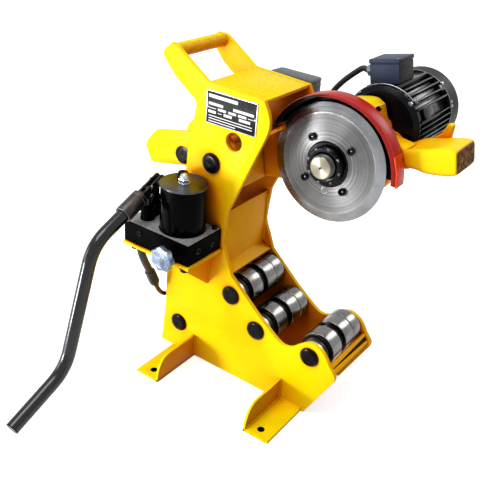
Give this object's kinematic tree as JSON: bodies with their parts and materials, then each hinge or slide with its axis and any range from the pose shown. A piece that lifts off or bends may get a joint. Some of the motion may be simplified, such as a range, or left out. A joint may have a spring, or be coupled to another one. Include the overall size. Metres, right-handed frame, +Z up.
{
  "type": "electric pipe cutter",
  "caption": "Motor-driven pipe cutter: a cutting wheel on a swinging geared arm, pressed by a hand-pumped hydraulic cylinder onto pipe lying on rollers in a welded frame.",
  "frame": {"origin": "centre of the base on the floor, halfway between the two side plates", "axes": "+X towards the open front with the rollers, +Y the far side with the motor, +Z up"},
  "size_m": [0.5432, 0.6927, 0.6177],
  "materials": {
    "yellow_paint": "gloss enamel on cast and welded steel, with an orange peel",
    "red_paint": "gloss enamel on sheet steel",
    "black_paint": "satin black enamel",
    "black_steel": "blackened steel, lightly oiled",
    "nameplate_black": "printed aluminium plate, satin black",
    "roller_steel": "turned and polished steel",
    "wheel_steel": "turned tool steel with a polished bevel",
    "dark_steel": "dark brushed steel",
    "spindle_steel": "turned steel with a brass-like oil film",
    "zinc_knob": "blue zinc plate, satin",
    "bright_chrome": "bright plate",
    "copper_fitting": "dull copper-plated steel",
    "hose_rubber": "smooth hydraulic hose cover",
    "cable_rubber": "smooth cable sheath",
    "slate_plastic": "slate blue-grey moulding, satin",
    "black_plastic": "black moulding, satin",
    "red_plastic": "red rocker key, gloss"
  },
  "bodies": {
    "frame": {"near_side_plate": "yellow_paint", "far_side_plate": "yellow_paint", "top_plate": "yellow_paint", "front_web": "yellow_paint", "front_cross_bar": "yellow_paint", "bottom_plate": "yellow_paint", "carry_handle_bar": "yellow_paint", "near_rear_foot": "yellow_paint", "near_front_foot": "yellow_paint", "far_rear_foot": "yellow_paint", "far_front_foot": "yellow_paint", "nameplate": "nameplate_black", "arm_pivot_pin": "black_steel", "cylinder_pin": "black_steel", "rear_roller_shaft": "black_steel", "middle_roller_shaft": "black_steel", "front_roller_shaft": "black_steel", "rear_roller_collar": "roller_steel", "middle_roller_collar": "roller_steel", "front_roller_collar": "roller_steel", "pump_bracket": "yellow_paint", "pump_block": "black_paint", "oil_tank": "black_paint", "tank_lid": "dark_steel", "acorn_nut": "bright_chrome", "pump_barrel": "black_paint", "hydraulic_hose": "hose_rubber", "switch_box": "black_plastic", "motor_cable": "cable_rubber"},
    "arm": {"swing_arm": "yellow_paint", "tail_pin": "black_steel", "gear_case": "yellow_paint", "gear_case_cover": "yellow_paint", "wheel_guard": "red_paint", "motor_end_shield": "black_paint", "motor_frame": "black_paint", "fan_cowl": "black_paint", "junction_box": "slate_plastic"},
    "cutter": {"spindle": "spindle_steel", "cutting_wheel": "wheel_steel", "lock_nut": "black_steel"},
    "idler": {"idler_gear": "dark_steel"},
    "rotor": {"motor_rotor": "dark_steel"},
    "cylinder": {"cylinder_barrel": "black_paint", "hose_elbow": "copper_fitting"},
    "rod": {"cylinder_rod": "roller_steel"},
    "lever": {"lever_fork": "dark_steel", "lever_tube": "black_paint"},
    "piston": {"pump_piston": "roller_steel"},
    "knob": {"release_knob": "zinc_knob"},
    "rocker": {"switch_rocker": "red_plastic"},
    "rear_near_roller": {"rear_near_ring": "roller_steel"},
    "rear_middle_roller": {"rear_middle_ring": "roller_steel"},
    "rear_far_roller": {"rear_far_ring": "roller_steel"},
    "middle_near_roller": {"middle_near_ring": "roller_steel"},
    "middle_middle_roller": {"middle_middle_ring": "roller_steel"},
    "middle_far_roller": {"middle_far_ring": "roller_steel"},
    "front_near_roller": {"front_near_ring": "roller_steel"},
    "front_middle_roller": {"front_middle_ring": "roller_steel"},
    "front_far_roller": {"front_far_ring": "roller_steel"}
  },
  "joints": [
    {"name": "arm_swing", "type": "hinge", "parent": "frame", "child": "arm", "pos_m": [-0.06922, 0, 0.41531], "axis": [0, 1, 0], "range_deg": [0, 38], "stiffness_Nm_per_rad": 90, "springref_deg": -68.75, "deforming": ["motor_cable"]},
    {"name": "wheel_spin", "type": "hinge", "parent": "arm", "child": "cutter", "pos_m": [0.11727, 0, 0.45286], "axis": [0, 1, 0], "continuous": true},
    {"name": "idler_spin", "type": "hinge", "parent": "arm", "child": "idler", "pos_m": [0.17553, 0, 0.46722], "axis": [0, 1, 0], "continuous": true},
    {"name": "rotor_spin", "type": "hinge", "parent": "arm", "child": "rotor", "pos_m": [0.16503, 0, 0.51098], "axis": [0, 1, 0], "continuous": true},
    {"name": "cylinder_tilt", "type": "hinge", "parent": "frame", "child": "cylinder", "pos_m": [-0.1254, 0, 0.0614], "axis": [0, 1, 0], "range_deg": [-2, 3], "deforming": ["hydraulic_hose"]},
    {"name": "rod_slide", "type": "slide", "parent": "cylinder", "child": "rod", "axis": [-0.0404, 0, 0.9992], "range_m": [-0.0002, 0.046]},
    {"name": "lever_pump", "type": "hinge", "parent": "frame", "child": "lever", "pos_m": [-0.15714, -0.1114, 0.36533], "axis": [-1, 0, 0], "range_deg": [0, 50]},
    {"name": "piston_stroke", "type": "slide", "parent": "frame", "child": "piston", "axis": [0, 0, 1], "range_m": [-0.0001, 0.0185]},
    {"name": "release_valve_turn", "type": "hinge", "parent": "frame", "child": "knob", "pos_m": [-0.07134, -0.1629, 0.27734], "axis": [0, 1, 0], "range_deg": [0, 180]},
    {"name": "rocker_tilt", "type": "hinge", "parent": "frame", "child": "rocker", "pos_m": [-0.01714, 0.1083, 0.51938], "axis": [-1, 0, 0], "range_deg": [0, 16]},
    {"name": "rear_near_roll", "type": "hinge", "parent": "frame", "child": "rear_near_roller", "pos_m": [-0.00838, 0, 0.17541], "axis": [0, 1, 0], "continuous": true},
    {"name": "rear_middle_roll", "type": "hinge", "parent": "frame", "child": "rear_middle_roller", "pos_m": [-0.00838, 0, 0.17541], "axis": [0, 1, 0], "continuous": true},
    {"name": "rear_far_roll", "type": "hinge", "parent": "frame", "child": "rear_far_roller", "pos_m": [-0.00838, 0, 0.17541], "axis": [0, 1, 0], "continuous": true},
    {"name": "middle_near_roll", "type": "hinge", "parent": "frame", "child": "middle_near_roller", "pos_m": [0.05168, 0, 0.12602], "axis": [0, 1, 0], "continuous": true},
    {"name": "middle_middle_roll", "type": "hinge", "parent": "frame", "child": "middle_middle_roller", "pos_m": [0.05168, 0, 0.12602], "axis": [0, 1, 0], "continuous": true},
    {"name": "middle_far_roll", "type": "hinge", "parent": "frame", "child": "middle_far_roller", "pos_m": [0.05168, 0, 0.12602], "axis": [0, 1, 0], "continuous": true},
    {"name": "front_near_roll", "type": "hinge", "parent": "frame", "child": "front_near_roller", "pos_m": [0.16599, 0, 0.12447], "axis": [0, 1, 0], "continuous": true},
    {"name": "front_middle_roll", "type": "hinge", "parent": "frame", "child": "front_middle_roller", "pos_m": [0.16599, 0, 0.12447], "axis": [0, 1, 0], "continuous": true},
    {"name": "front_far_roll", "type": "hinge", "parent": "frame", "child": "front_far_roller", "pos_m": [0.16599, 0, 0.12447], "axis": [0, 1, 0], "continuous": true}
  ],
  "couplings": [
    {"joint": "idler_spin", "follows": "wheel_spin", "ratio": -4},
    {"joint": "rotor_spin", "follows": "wheel_spin", "ratio": 16},
    {"joint": "cylinder_tilt", "follows": "arm_swing", "ratio": 0.034},
    {"joint": "rod_slide", "follows": "arm_swing", "m_per_rad": 0.0684},
    {"joint": "piston_stroke", "follows": "lever_pump", "m_per_rad": 0.021}
  ]
}
